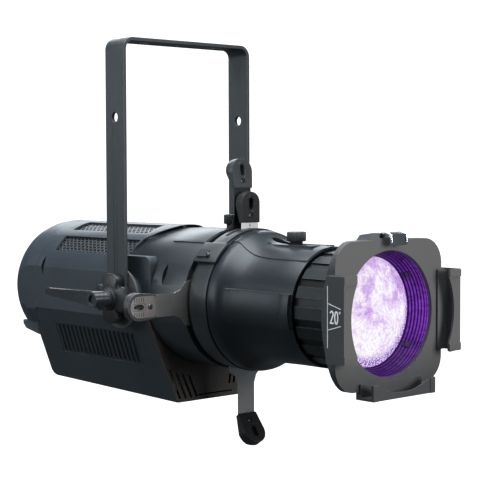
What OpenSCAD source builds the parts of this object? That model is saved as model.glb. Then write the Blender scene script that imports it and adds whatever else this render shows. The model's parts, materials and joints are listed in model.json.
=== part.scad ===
// Ellipsoidal stage spotlight with an LED engine, hung from a flat-bar yoke.
// Row frame: origin at the centre of the clamp bolt hole in the yoke's top face,
// +X along the beam, +Y across the fixture, +Z up. All sizes are in millimetres.

/* [Yoke] */
// Width of the yoke's flat bar
bar_w = 38; // [34:1:42]
// Thickness of the yoke's flat bar
bar_t = 4.5; // [4:0.1:4.6]
// Height from the tilt axis to the yoke's top face
yoke_drop = 324.2; // [320:0.1:340]
// Outside radius of the yoke's two bends
yoke_bend = 15; // [12:1:20]
// Radius of the clamp bolt hole in the yoke's top
clamp_hole_r = 6.5; // [5:0.5:7]

/* [Housing] */
// Number of louvres in each side vent
louvre_count = 18; // [12:1:18]
// Height of each louvre slot measured along the slot
louvre_len = 38; // [28:1:39]
// Number of fins on the heat sink
fin_count = 15; // [9:2:17]
// Number of fan blades
blade_count = 7; // [5:1:9]

/* [Optics] */
// Radius of the front opening
opening_r = 70; // [68:0.5:70]
// Number of grip ribs round the lens tube
grip_count = 18; // [12:1:20]
// Radius of the front lens
lens_r = 62; // [58:0.5:62]
// Number of emitters across the board's outer ring
emitter_ring = 12; // [8:1:12]

/* [Handles] */
// Number of lobes on the tilt clamping knob
knob_lobes = 4; // [3:1:5]
// Length of the tilt lever from its axis to its tip
lever_len = 112; // [80:1:112]

/* [Hidden] */
$fn = 96;
yoke_half = 104.5;                 // outside half width of the yoke
arm_y = yoke_half - bar_t;         // inside face of each arm
arm_hole_z = 225.4;                // safety holes above the tilt axis
arm_hole_r = 6;
top_slot_y = 56;                   // slots either side of the clamp hole
top_slot_len = 23;
top_slot_r = 6.5;
stud_r = 8;                        // tilt stud
run_gap = 0.05;                    // radial clearance of every running shaft
boss_r = 30;
disc_r = 38;                       // friction disc
shell_r = 90;                      // rear housing cylinder
shell_t = 3;
side_y = 85;                       // flat sides of the housing
box_z = 131;                       // underside of the housing below the axis, at its front
box_knee_z = -27;                  // where the flat sides start to lean inward
box_half = 51.5;                   // half width of the underside
side_lean = atan((side_y - box_half) / (box_z + box_knee_z));
rear_x = -212;                     // rear edge of the housing
rear_back_x = -222;                // rear wall of the lower box, upper end
rear_knee_z = -60;
rear_low_x = -217;                 // rear wall of the lower box, lower end
rear_low_z = -124;
vent_x0 = -174;                    // side vents, measured along the leaning sides
vent_x1 = 8;
vent_top = -19;
vent_low = -62.4;
front_top = [38, -19];             // slanted front face, upper end (x, z)
front_low = [57.5, -131];          // slanted front face, lower end
front_dx = front_low[0] - front_top[0];
front_dz = front_low[1] - front_top[1];
front_len = sqrt(front_dx * front_dx + front_dz * front_dz);
front_ang = atan(front_dx / -front_dz);
cover_t = 3;
pad_x = 44;                        // half length of the pivot pads
pad_z = 52.5;
barrel_r = 86;
barrel_x0 = -20;                   // hidden rear end of the middle barrel
barrel_x1 = 109.7;
barrel_bore = 79;
gate_x1 = 149.8;                   // front of the gate ring
gate_bore = 75;
slot_half = 31;                    // half width of each shutter slot
shutter_x = [120.6, 117, 126, 114];  // blade planes: top, far side, bottom, near side
shutter_w = 2.4;                   // slot width along the beam
gobo_x = 134;
gobo_slot_half = 37;
grip_r0 = [137, 133, 141.5, 133];  // where each grip starts
grip_lean = [-7, 0, 34, 0];
grip_len = [37, 40, 40, 40];
gobo_grip_len = 38;
tube_r = 69.5;                     // outer tube, front part
tube_bore = 67;
tube_x0 = 152;
tube_x1 = 278;
focus_x = 216;
focus_neck_r = 7.5;
focus_slot_x0 = 178;
focus_slot_x1 = 254;
lens_tube_x0 = 184;
lens_tube_x1 = 332.5;
lens_bore = 62.5;
lens_x = 322;
plate_x = 364;                     // front face of the accessory holder's plate
plate_t = 4;
plate_half_y = 86.5;
plate_half_z = 81.5;
plate_corner = 29;
channel_back_x = 367;              // frames slide between this face and the lips
lip_back_x = 382.5;
lip_x = 385;                       // front of the channel lips
lip_r = 84;                        // the lips are cut to a circle
channel_half_z = 46.5;             // half height of the side channels
channel_half_y = 50.5;             // half width of the bottom channel
cap_x = -272;                      // rear face of the rear cap
bay_z = -50;                       // top of the cable bay
rear_ang = atan((rear_low_x - rear_back_x) / (rear_knee_z - rear_low_z));
panel_mid = [rear_back_x + 2.7, -91];
socket_row = 8;                    // sockets above the middle of the rear wall
socket_y = [-34, 0, 34];
fuse_row = -19.5;
button_y = [-27, -9, 9, 27];
button_z = -12;
button_r = 4.5;
latch_z = 86;
latch_x = 359;

// ---- helpers ----

// Moves what is drawn about the tilt axis into the row frame.
module axis_frame() {
    translate([0, 0, -yoke_drop]) children();
}

// Solid cylinder along X.
module xcyl(r, x0, x1) {
    translate([x0, 0, 0]) rotate([0, 90, 0]) cylinder(h = x1 - x0, r = r);
}

// Solid cylinder along Y.
module ycyl(r, y0, y1) {
    translate([0, y0, 0]) rotate([-90, 0, 0]) cylinder(h = y1 - y0, r = r);
}

// Ring along X.
module xring(ro, ri, x0, x1) {
    difference() {
        xcyl(ro, x0, x1);
        xcyl(ri, x0 - 1, x1 + 1);
    }
}

// Solid of revolution about X from [radius, x] points.
module xrev(points) {
    rotate([0, 90, 0]) rotate_extrude() polygon(points);
}

// A flat (y, z) shape carried along X.
module along_x(x0, x1) {
    translate([x0, 0, 0]) rotate([90, 0, 90]) linear_extrude(height = x1 - x0) children();
}

// A flat (x, z) shape carried along Y.
module along_y(y0, y1) {
    translate([0, y1, 0]) rotate([90, 0, 0]) linear_extrude(height = y1 - y0) children();
}

// Rectangle with round corners from exact circles.
module round_rect(w, h, r) {
    square([w - 2 * r, h], center = true);
    square([w, h - 2 * r], center = true);
    for (sx = [-1, 1], sy = [-1, 1])
        translate([sx * (w / 2 - r), sy * (h / 2 - r)]) circle(r = r);
}

// Wedge in the (y, z) plane between two angles from straight up, positive towards -Y.
module wedge(a0, a1, r) {
    polygon([[0, 0], [-r * sin(a0), r * cos(a0)],
        [-r * sin((a0 + a1) / 2) * 1.1, r * cos((a0 + a1) / 2) * 1.1],
        [-r * sin(a1), r * cos(a1)]]);
}

// Oblong with round ends, its length along the second axis.
module oblong(len, r) {
    square([2 * r, len - 2 * r], center = true);
    for (s = [-1, 1])
        translate([0, s * (len / 2 - r)]) circle(r = r);
}

// ---- yoke ----

// Upside-down U in the (y, z) plane, its top at z = top.
module arch(half, bend, top) {
    translate([-half, -yoke_drop]) square([2 * half, yoke_drop + top - bend]);
    translate([-(half - bend), -yoke_drop]) square([2 * (half - bend), yoke_drop + top]);
    for (s = [-1, 1])
        translate([s * (half - bend), top - bend]) circle(r = bend);
}

module yoke() {
    color("DimGray") difference() {
        union() {
            along_x(-bar_w / 2, bar_w / 2) difference() {
                arch(yoke_half, yoke_bend, 0);
                arch(arm_y, yoke_bend - bar_t, -bar_t);
            }
            for (s = [-1, 1])
                axis_frame() ycyl(bar_w / 2, min(s * arm_y, s * yoke_half),
                    max(s * arm_y, s * yoke_half));
        }
        // clamp hole, the two slots beside it, the arm holes and the pivot holes
        translate([0, 0, -bar_t - 1]) cylinder(h = bar_t + 2, r = clamp_hole_r);
        for (s = [-1, 1])
            translate([0, s * top_slot_y, -bar_t - 1]) linear_extrude(height = bar_t + 2)
                oblong(top_slot_len, top_slot_r);
        for (s = [-1, 1])
            translate([0, 0, arm_hole_z - yoke_drop])
                ycyl(arm_hole_r, s * (arm_y + bar_t / 2) - bar_t, s * (arm_y + bar_t / 2) + bar_t);
        for (s = [-1, 1])
            axis_frame() ycyl(stud_r + run_gap, s * (arm_y + bar_t / 2) - bar_t,
                s * (arm_y + bar_t / 2) + bar_t);
    }
}

// ---- tilt pivots ----

// Ring along Y on side s, between two distances from the middle.
module side_ring(s, ro, ri, d0, d1) {
    axis_frame() difference() {
        ycyl(ro, min(s * d0, s * d1), max(s * d0, s * d1));
        ycyl(ri, min(s * d0, s * d1) - 1, max(s * d0, s * d1) + 1);
    }
}

module pivot_boss_near() {
    color("Silver") side_ring(-1, boss_r, stud_r + run_gap, side_y + 0.1, 96.4);
}

module pivot_boss_far() {
    color("Silver") side_ring(1, boss_r, stud_r + run_gap, side_y + 0.1, 96.4);
}

module friction_disc_near() {
    color("Gray") side_ring(-1, disc_r, stud_r + run_gap, 96.6, 99.8);
}

module friction_disc_far() {
    color("Gray") side_ring(1, disc_r, stud_r + run_gap, 96.6, 99.8);
}

// Stud with a hexagonal head inside the housing.
module stud(s, reach) {
    axis_frame() union() {
        ycyl(stud_r, min(s * 74, s * reach), max(s * 74, s * reach));
        translate([0, s * 73.2, 0]) rotate([90, 0, 0]) cylinder(h = 8, r = 14, center = true, $fn = 6);
    }
}

module pivot_stud_near() {
    color("Silver") stud(-1, 123);
}

module pivot_stud_far() {
    color("Silver") stud(1, 119);
}

// Domed nut on the far end of the tilt axis, with its washer face.
module pivot_nut_far() {
    color("Silver") axis_frame() difference() {
        union() {
            ycyl(17, yoke_half + 0.2, yoke_half + 2.2);
            translate([0, yoke_half + 8.2, 0]) rotate([90, 0, 0])
                cylinder(h = 12, r = 14, center = true, $fn = 6);
            ycyl(10.5, yoke_half + 13, yoke_half + 18.5);
        }
        ycyl(stud_r + run_gap, yoke_half - 1, 119.3);
    }
}

// Lobed clamping knob outside the near arm.
module tilt_knob() {
    color("DimGray") axis_frame() difference() {
        union() {
            along_y(-116.8, -105) intersection() {
                circle(r = 31.5);
                union() {
                    circle(r = 18);
                    for (i = [0:knob_lobes - 1])
                        rotate([0, 0, 90 + i * 360 / knob_lobes]) translate([0, -11])
                            square([40, 22]);
                }
            }
            ycyl(15, -118.6, -116);
        }
        ycyl(stud_r + run_gap, -120, -104);
    }
}

// Ratchet lever: round hub on the stud's end and a flat tapered arm.
module tilt_lever() {
    color("Black") axis_frame() difference() {
        union() {
            ycyl(11.7, -122.5, -118.8);
            ycyl(10.2, -142, -121);
            along_y(-137, -128) union() {
                polygon([[0, 10.1], [-lever_len + 4, 8.2], [-lever_len, 6.4],
                    [-lever_len, 1.4], [-lever_len + 4, -0.6], [-14, -8.6], [0, -10.1]]);
            }
        }
        ycyl(stud_r + run_gap, -123.4, -118);
        // screw recess in the hub's end
        ycyl(6.6, -143, -139.4);
    }
}

// ---- rear housing ----

// Section of the housing, round above and leaning inward below, set in by a given amount.
module housing_section(inset) {
    knee = box_knee_z + inset * tan(side_lean / 2);
    low = box_half - inset * (1 - sin(side_lean)) / cos(side_lean);
    wide = side_y - inset;
    intersection() {
        polygon([[-wide, shell_r], [wide, shell_r], [wide, knee], [low, inset - box_z],
            [-low, inset - box_z], [-wide, knee]]);
        union() {
            circle(r = shell_r - inset);
            translate([-shell_r, inset - box_z]) square([2 * shell_r, box_z - inset]);
        }
    }
}

// Side outline of the housing in (x, z); the underside rises a little to the rear.
module housing_side() {
    c = cover_t / cos(front_ang);
    polygon([[rear_x, shell_r + 4], [20, shell_r + 4], [20, 89.5], [-8, 72], [-15, 50],
        [-15, 28], [front_top[0] - c, 20], [front_top[0] - c, front_top[1]],
        [front_low[0] - c, front_low[1]], [rear_low_x + 9, rear_low_z - 0.2],
        [rear_low_x + 3, rear_low_z + 2], [rear_low_x - 0.5, rear_low_z + 7],
        [rear_back_x, rear_knee_z], [rear_back_x + 1, bay_z - 0.3], [rear_x, bay_z - 0.3]]);
}

// Side outline of the room above the housing's floor.
module housing_room() {
    polygon([[-240, shell_r + 5], [120, shell_r + 5], [120, front_low[1] + shell_t + 1.6],
        [front_low[0], front_low[1] + shell_t], [rear_low_x, rear_low_z + shell_t],
        [-240, rear_low_z + shell_t + 0.6]]);
}

// Lens-shaped slit cut radially, its length round the shell.
module vent_slit(x, a) {
    rotate([a, 0, 0]) translate([x, 0, 60]) linear_extrude(height = 40) intersection() {
        translate([26.5, 0]) circle(r = 30);
        translate([-26.5, 0]) circle(r = 30);
    }
}

// Moves to a leaning side: X along the beam, Z up the side, Y from its face outwards or inwards.
module on_side(s) {
    translate([0, s * side_y, box_knee_z]) rotate([-s * side_lean, 0, 0]) children();
}

// Plate on a leaning side between two depths below its face, in outline (x, z).
module side_plate(s, d0, d1) {
    on_side(s) along_y(min(-s * d0, -s * d1), max(-s * d0, -s * d1)) children();
}

// Outline of the side vent.
module vent_field(inset) {
    translate([vent_x0 + inset, vent_low + inset])
        square([vent_x1 - vent_x0 - 2 * inset, vent_top - vent_low - 2 * inset]);
}

module rear_housing() {
    color("DarkSlateGray") axis_frame() difference() {
        union() {
            intersection() {
                along_x(rear_back_x - 1, front_low[0]) housing_section(0);
                along_y(-shell_r - 2, shell_r + 2) housing_side();
            }
            // pivot pads on both sides
            for (s = [-1, 1])
                along_y(min(s * side_y, s * 66), max(s * side_y, s * 66))
                    translate([0, 22]) round_rect(2 * pad_x, 2 * (pad_z - 22), 10);
        }
        intersection() {
            along_x(rear_back_x - 2, front_low[0] + 1) housing_section(shell_t);
            along_y(-shell_r, shell_r) housing_room();
        }
        // the full-size part of the middle barrel
        xcyl(barrel_r + 0.15, pad_x + 0.1, front_low[0] + 20);
        // top windows over the grille
        for (s = [-1, 1]) {
            along_x(-180, -12) wedge(s * 10.5, s * 29, 110);
            along_x(-180, -12) wedge(s * 38, s * 55, 110);
            vent_slit(-195, s * 70);
        }
        // side vents
        for (s = [-1, 1])
            side_plate(s, -4, 8) vent_field(0);
        // stud holes
        ycyl(stud_r + 0.3, -120, 120);
    }
}

// Perforated sheet behind the top windows.
module top_grille() {
    color("DarkGray") axis_frame() difference() {
        intersection() {
            xring(86.8, 85.9, -190, -22);
            along_x(-190, -22) union() {
                wedge(-60, 0.1, 120);
                wedge(-0.1, 60, 120);
            }
        }
        for (s = [-1, 1], a = [12.5, 16, 19.5, 23, 26.5, 40, 43.5, 47, 50.5, 53.5], i = [0:4])
            rotate([s * a, 0, 0]) translate([-162 + i * 33, 0, 80])
                cube([27, 3, 20], center = true);
    }
}

// Panel of upright louvres set into one side vent.
module louvres(s) {
    axis_frame() difference() {
        side_plate(s, 0.7, 2.8) vent_field(0.15);
        side_plate(s, -1, 5)
            for (i = [0:louvre_count - 1])
                translate([vent_x0 + 8 + i * 167 / (louvre_count - 0.4), (vent_top + vent_low) / 2])
                    square([3.6, louvre_len], center = true);
    }
}

module louvre_near() {
    color("DimGray") louvres(-1);
}

module louvre_far() {
    color("DimGray") louvres(1);
}

// Slanted front cover of the lower box, with slots near both edges and a recess.
module front_cover() {
    color("DimGray") axis_frame() difference() {
        intersection() {
            along_x(0, 120) housing_section(0.2);
            along_y(-shell_r, shell_r)
                translate([front_top[0], front_top[1]]) rotate([0, 0, front_ang])
                    translate([-cover_t + 0.2, -front_len]) square([cover_t - 0.2, front_len]);
        }
        xcyl(barrel_r + 0.3, 0, 120);
        // slots, cut square to the cover and parallel to its side edges
        translate([front_low[0], 0, front_low[1]]) rotate([0, -front_ang, 0]) union() {
            for (i = [0:3])
                translate([-6, -(box_half - 3.6 - i * 9), 5]) rotate([side_lean, 0, 0])
                    translate([0, -1.7, 0]) cube([12, 3.4, 38 - 3.2 * i]);
            for (i = [0:2])
                translate([-6, box_half - 1.5 - i * 7.5, 16]) rotate([-side_lean, 0, 0])
                    translate([0, -1.7, 0]) cube([12, 3.4, 15 - 1.5 * i]);
            translate([-6, -18, 6]) cube([12, 56, 1.5]);
        }
    }
}

// Domed rear cap with a flat back and a slot through each side of its rim.
module rear_cap() {
    color("DarkSlateGray") axis_frame() difference() {
        intersection() {
            xrev([[0, cap_x], [74, cap_x], [78.5, cap_x + 3], [84, cap_x + 12],
                [88, cap_x + 25], [shell_r, cap_x + 38], [shell_r, rear_x - 0.2],
                [0, rear_x - 0.2]]);
            translate([-250, 0, 40]) cube([100, 2 * side_y, 180], center = true);
        }
        intersection() {
            xrev([[0, cap_x + 3], [73, cap_x + 3], [76, cap_x + 6], [81, cap_x + 14],
                [85, cap_x + 26], [shell_r - shell_t, cap_x + 38],
                [shell_r - shell_t, rear_x + 1], [0, rear_x + 1]]);
            translate([-250, 0, 40]) cube([100, 2 * (side_y - shell_t), 200], center = true);
        }
        // rim slots
        for (s = [-1, 1])
            translate([-275, s * 78, 27]) cube([22, 18, 8], center = true);
        // opening for the control panel
        translate([-280, 0, 8]) rotate([0, 90, 0]) linear_extrude(height = 20)
            round_rect(58, 96, 5);
        // air slots below and above it
        for (i = [-5:5], z = [-38, 54])
            translate([cap_x, i * 9, z]) cube([12, 4, 14], center = true);
    }
}

// Tray under the cap that shields the cable entries.
module cable_bay() {
    color("LightSlateGray") axis_frame() difference() {
        along_y(-68, 68) polygon([[cap_x + 1, bay_z], [cap_x + 1, -56], [-264, -62],
            [-232, -68], [-224.6, -68], [-224.6, bay_z]]);
        along_y(-65, 65) polygon([[cap_x + 4, bay_z + 1], [cap_x + 4, -54.6], [-262, -59.6],
            [-232, -65], [-220, -65], [-220, bay_z + 1]]);
    }
}

// Moves to the slanted rear wall: X up the wall, Y across, Z outwards.
module on_rear_wall() {
    axis_frame() translate([panel_mid[0], 0, panel_mid[1]]) rotate([0, -180 + 90 - rear_ang, 0])
        children();
}

module connector_panel() {
    color("DimGray") on_rear_wall() difference() {
        translate([0, 0, -3]) linear_extrude(height = 2.8)
            polygon([[-29.2, -51.5], [29.2, -70.3], [29.2, 70.3], [-29.2, 51.5]]);
        for (y = socket_y)
            translate([socket_row, y, -5]) cylinder(h = 10, r = 12.2);
        translate([fuse_row, 0, -5]) cylinder(h = 10, r = 7.9);
    }
}

// Round panel socket with a square flange; pins gives the number of contacts.
module socket(y, pins, bore) {
    on_rear_wall() translate([socket_row, y, 0]) difference() {
        union() {
            linear_extrude(height = 2.4) round_rect(31, 26, 3);
            translate([0, 0, -24]) cylinder(h = 25, r = 11.8);
        }
        translate([0, 0, -16]) difference() {
            cylinder(h = 30, r = bore);
            for (i = [1:pins])
                rotate([0, 0, 90 + i * 300 / pins]) translate([bore * 0.58, 0, -1])
                    cylinder(h = 13, r = 1.3);
        }
        for (s = [-1, 1])
            translate([s * 12.2, s * 9.6, -1]) cylinder(h = 5, r = 1.7);
    }
}

module power_inlet() {
    color("Black") socket(socket_y[0], 3, 9.6);
}

module data_in() {
    color("Silver") socket(socket_y[1], 5, 8.6);
}

module data_out() {
    color("Silver") socket(socket_y[2], 5, 8.6);
}

module fuse_holder() {
    color("Black") on_rear_wall() translate([fuse_row, 0, 0]) difference() {
        union() {
            cylinder(h = 3, r = 8.6);
            translate([0, 0, 2]) cylinder(h = 7, r = 7);
            translate([0, 0, -26]) cylinder(h = 27, r = 7.5);
        }
        translate([0, 0, 8]) cube([11, 1.6, 4], center = true);
    }
}

module control_panel() {
    color("Black") axis_frame() translate([cap_x + 0.6, 0, 8]) rotate([0, 90, 0]) difference() {
        linear_extrude(height = 2.2) round_rect(57.6, 95.6, 4.8);
        translate([-10, 0, -1]) linear_extrude(height = 5) round_rect(24, 52, 1.5);
        for (y = button_y)
            translate([8 - button_z, y, -1]) cylinder(h = 5, r = button_r + run_gap);
    }
}

module display() {
    color("SteelBlue") axis_frame() translate([cap_x + 1, 0, 18]) rotate([0, 90, 0])
        linear_extrude(height = 2) round_rect(23.6, 51.6, 1.4);
}

// Button with a collar behind the panel so that it can't fall out.
module button(i) {
    axis_frame() translate([0, button_y[i], button_z]) union() {
        xcyl(button_r, cap_x - 2, cap_x + 6);
        xcyl(button_r + 1.5, cap_x + 3.2, cap_x + 5);
    }
}

module button_1() {
    color("Gray") button(0);
}

module button_2() {
    color("Gray") button(1);
}

module button_3() {
    color("Gray") button(2);
}

module button_4() {
    color("Gray") button(3);
}

// ---- cooling and light engine ----

module fan_frame() {
    color("Black") axis_frame() difference() {
        union() {
            along_x(-222, -197) difference() {
                round_rect(119, 119, 6);
                circle(r = 57.5);
                for (a = [-1, 1], b = [-1, 1])
                    translate([a * 52.5, b * 52.5]) circle(r = 2.2);
            }
            xcyl(19, -222, -219.4);
            along_x(-222, -219.4) for (i = [0:2])
                rotate([0, 0, 30 + i * 120]) translate([0, -2]) square([59, 4]);
            xcyl(2.5, -220, -204);
        }
    }
}

// Hub and blades turning on the frame's pin.
module fan_rotor() {
    color("Black") axis_frame() difference() {
        union() {
            xcyl(19.5, -218.6, -199);
            for (i = [0:blade_count - 1])
                rotate([i * 360 / blade_count, 0, 0]) translate([-208.5, 0, 17])
                    rotate([0, 0, 38]) translate([-10, -0.8, 0]) cube([20, 1.6, 38]);
        }
        xcyl(2.5 + run_gap, -219, -203.6);
    }
}

module heat_sink() {
    color("Silver") axis_frame() difference() {
        union() {
            xcyl(70, -80, -72);
            along_x(-190, -79) intersection() {
                circle(r = 72);
                union() {
                    circle(r = 24);
                    for (i = [0:fin_count - 1])
                        translate([-63 + i * 126 / (fin_count - 1) - 1, -80]) square([2, 160]);
                }
            }
        }
        // room for the sockets at the lower rear corner
        translate([-196, -80, -80]) cube([40, 160, 21]);
    }
}

module led_board() {
    color("White") axis_frame() xcyl(50, -71.8, -69.8);
}

// Emitters on their common copper plate.
module led_emitters() {
    color("Gold") axis_frame() union() {
        xcyl(32, -69.7, -68);
        xcyl(3.2, -69, -65.5);
        for (i = [0:5])
            rotate([i * 60, 0, 0]) translate([0, 0, 12]) xcyl(3.2, -69, -65.5);
        for (i = [0:emitter_ring - 1])
            rotate([i * 360 / emitter_ring, 0, 0]) translate([0, 0, 24]) xcyl(3.2, -69, -65.5);
    }
}

// Plate of small lenses in front of the emitters.
module collimator() {
    color("LightCyan") axis_frame() union() {
        xcyl(42, -56, -52);
        xcyl(5.4, -64, -55);
        for (i = [0:5])
            rotate([i * 60, 0, 0]) translate([0, 0, 12]) xcyl(5.4, -64, -55);
        for (i = [0:emitter_ring - 1])
            rotate([i * 360 / emitter_ring, 0, 0]) translate([0, 0, 24]) xcyl(5.4, -64, -55);
    }
}

// Tapered mixing tube from the light engine to the gate.
module light_pipe() {
    color("Silver") axis_frame() xrev([[43, -57], [44.5, -57], [44.5, -50], [41.5, 104],
        [60, 104], [60, 106], [40, 106], [40, 100], [42.5, -48], [42.3, -57]]);
}

module driver_board() {
    color("DarkGreen") axis_frame() union() {
        translate([-140, 4, -118]) cube([170, 43, 1.6]);
        for (i = [0:3])
            translate([-126 + i * 40, 8, -116.6]) cube([22, 16, 9 + (i % 2) * 5]);
        for (i = [0:4])
            translate([-122 + i * 32, 38, -116.6]) cylinder(h = 16, r = 7);
    }
}

module power_supply() {
    color("Silver") axis_frame() difference() {
        translate([-142, -48, -119]) cube([176, 46, 26]);
        translate([-140, -46, -117]) cube([172, 42, 30]);
    }
}

// ---- middle barrel ----

module mid_barrel() {
    color("DarkSlateGray") axis_frame() difference() {
        union() {
            xcyl(barrel_r, barrel_x0, barrel_x1);
            // raised pad on top
            intersection() {
                xcyl(barrel_r + 1.2, 46, 108);
                along_x(46, 108) wedge(-35, 35, 120);
            }
        }
        xcyl(barrel_bore, barrel_x0 - 1, barrel_x1 + 1);
        // flat sides where it lies inside the housing
        for (s = [-1, 1])
            translate([pad_x + 0.2 - 50, s * 91.8, 0]) cube([100, 20, 200], center = true);
        for (s = [-1, 1])
            vent_slit(66, s * 68);
        // hole for the lock knob's shaft
        translate([100, 0, 60]) cylinder(h = 40, r = 4 + run_gap);
        // holes for the tilt studs
        ycyl(stud_r + run_gap, -95, 95);
    }
}

// Knob that locks the gate's rotation.
module lock_knob() {
    color("Black") axis_frame() translate([100, 0, 0]) union() {
        translate([0, 0, 92.3]) cylinder(h = 12.2, r = 9.5);
        translate([0, 0, 87.3]) cylinder(h = 5.2, r = 6);
        translate([0, 0, 79.3]) cylinder(h = 9, r = 4);
    }
}

// ---- gate ----

// Turns a piece drawn for the top to side k: 0 top, 1 far, 2 bottom, 3 near.
module side_turn(k) {
    rotate([-90 * k, 0, 0]) children();
}

module gate_housing() {
    color("DimGray") axis_frame() difference() {
        xrev([[gate_bore, 100], [barrel_bore - 0.07, 100], [barrel_bore - 0.07, 110.1],
            [78.4, 110.1], [78.4, 117], [82.8, 117], [84.2, 121], [85.6, gate_x1],
            [gate_bore, gate_x1]]);
        for (k = [0:3])
            side_turn(k) translate([shutter_x[k], 0, 80])
                cube([shutter_w, 2 * slot_half, 44], center = true);
        // gobo slot
        translate([gobo_x, 0, 78]) cube([4.4, 2 * gobo_slot_half, 44], center = true);
    }
}

module gate_aperture() {
    color("Silver") axis_frame() xring(74.9, 38, 118.1, 119.3);
}

// Band over the top of the gate, with a slot for the top shutter and the gobo holder.
module top_cover() {
    color("DimGray") axis_frame() difference() {
        union() {
            intersection() {
                xring(88.4, 86.1, 124.5, 147.6);
                along_x(110, 150) union() {
                    wedge(-52, 0.1, 120);
                    wedge(-0.1, 52, 120);
                }
            }
            // wider plate at each end of the band, and the block of its screw
            for (s = [-1, 1]) {
                intersection() {
                    xring(89.2, 86.1, 112, 152.4);
                    along_x(110, 153) wedge(s * 36, s * 55.5, 120);
                }
                rotate([s * 48, 0, 0]) translate([117, -6, 88.4]) cube([17, 11, 3.2]);
            }
        }
        translate([gobo_x, 0, 88]) cube([5.4, 2 * gobo_slot_half + 1, 60], center = true);
    }
}

// Stainless framing blade drawn for the top side, with its bent tail.
module blade(k) {
    lean = grip_lean[k];
    r0 = grip_r0[k];
    tail = 16;
    half_t = 0.4;
    miter = half_t * tan(lean / 2);
    axis_frame() side_turn(k) translate([shutter_x[k], 0, 0]) difference() {
        union() {
            along_x(-half_t, half_t)
                polygon([[-36, 38], [36, 38], [36, 59], [30, 67], [26, 86], [17, 94],
                    [13.4, 104], [-13.4, 104], [-17, 94], [-26, 86], [-30, 67], [-36, 59]]);
            along_y(-13.4, 13.4)
                polygon([[-half_t, 100], [half_t, 100], [half_t, r0 - miter],
                    [tail * sin(lean) + half_t * cos(lean), r0 + tail * cos(lean) - half_t * sin(lean)],
                    [tail * sin(lean) - half_t * cos(lean), r0 + tail * cos(lean) + half_t * sin(lean)],
                    [-half_t, r0 + miter]]);
        }
        translate([0, 0, r0]) rotate([0, lean, 0]) translate([-3, 0, 8.5])
            rotate([0, 90, 0]) cylinder(h = 6, r = 2);
    }
}

// Moulded grip on the end of a blade: flat in front, swelling behind.
module grip_shape(w0, w1, len) {
    difference() {
        intersection() {
            along_x(-12, 4) union() {
                polygon([[-w0 / 2, 0], [w0 / 2, 0], [w1 / 2, len - w1 / 2],
                    [-w1 / 2, len - w1 / 2]]);
                translate([0, len - w1 / 2]) circle(r = w1 / 2);
            }
            along_y(-30, 30) polygon([[2.2, 0], [2.6, 1.4], [2.6, len - 2], [1.4, len + 0.4],
                [-7, len + 0.4], [-9.6, len - 4], [-9.6, len * 0.55], [-3, 0]]);
        }
        // pocket for the blade's tail
        translate([-0.5, -13.6, -1]) cube([1, 27.2, 17.4]);
        // finger slot and screw recesses
        translate([0, 0, len - 15]) rotate([0, 0, 0]) along_x(-20, 10) oblong(15, 3.3);
        translate([-4, 0, 8.5]) rotate([0, 90, 0]) cylinder(h = 12, r = 1.9);
        translate([1.4, 0, 8.5]) rotate([0, 90, 0]) cylinder(h = 12, r = 4);
    }
}

module grip(k) {
    axis_frame() side_turn(k) translate([shutter_x[k], 0, grip_r0[k]])
        rotate([0, grip_lean[k], 0]) grip_shape(28.4, 32.5, grip_len[k]);
}

module shutter_top() {
    color("Silver") blade(0);
}

module shutter_far() {
    color("Silver") blade(1);
}

module shutter_bottom() {
    color("Silver") blade(2);
}

module shutter_near() {
    color("Silver") blade(3);
}

module grip_top() {
    color("Black") grip(0);
}

module grip_far() {
    color("Black") grip(1);
}

module grip_bottom() {
    color("Black") grip(2);
}

module grip_near() {
    color("Black") grip(3);
}

// Pattern holder plate that drops into the gate from above.
module gobo_holder() {
    color("Silver") axis_frame() translate([gobo_x, 0, 0]) difference() {
        along_x(-0.5, 0.5) difference() {
            union() {
                polygon([[-30, -44], [30, -44], [36, -38], [36, 54], [13.4, 80], [13.4, 110],
                    [-13.4, 110], [-13.4, 80], [-36, 54], [-36, -38]]);
            }
            circle(r = 32);
        }
        translate([-3, 0, 91.5]) rotate([0, 90, 0]) cylinder(h = 6, r = 1.2);
    }
}

module gobo_grip() {
    color("Black") axis_frame() translate([gobo_x, 0, 95]) grip_shape(28.4, 28.6, gobo_grip_len);
}

// ---- tubes and lenses ----

module outer_tube() {
    color("DarkSlateGray") axis_frame() difference() {
        union() {
            xrev([[79, 150], [83, 150], [84.6, 152], [84.6, 160], [83.4, 165], [79.6, 172],
                [75.4, 181], [72.6, 190], [71, 200], [70.2, 212], [tube_r, 240],
                [tube_r, tube_x1], [tube_bore, tube_x1], [tube_bore, 183], [72, 176],
                [79, 162]]);
            // rib along each side with a block at its front end
            for (s = [-1, 1])
                intersection() {
                    along_y(min(s * 60, s * 84), max(s * 60, s * 84))
                        polygon([[160, 21], [278, 20], [278, -20], [160, -21]]);
                    xrev([[66, 160], [84, 160], [79.6, 172], [76, 184], [73.4, 196], [72, 214],
                        [71.2, 240], [71.2, 261], [73.6, 263], [74, 268], [74, 277], [66, 277]]);
                }
            // shallow raised band along the top
            intersection() {
                xrev([[66, 153], [85.8, 153], [85.8, 160], [84.7, 165], [80.9, 172], [76.7, 181],
                    [73.9, 190], [72.4, 200], [71.6, 212], [71, 240], [71, 277.6], [66, 277.6]]);
                translate([150, -43, 0]) cube([130, 86, 100]);
            }
            // flat rail under the focus knob
            translate([172, -19, 62]) cube([88, 38, 9.4]);
        }
        xcyl(tube_bore, 165, tube_x1 + 1);
        xrev([[0, 149], [79, 149], [79, 162], [72, 176], [tube_bore, 183], [0, 183]]);
        // focus slot
        translate([(focus_slot_x0 + focus_slot_x1) / 2, 0, 60]) rotate([0, 0, 90])
            linear_extrude(height = 30)
                oblong(focus_slot_x1 - focus_slot_x0, focus_neck_r + 0.4);
    }
}

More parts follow.
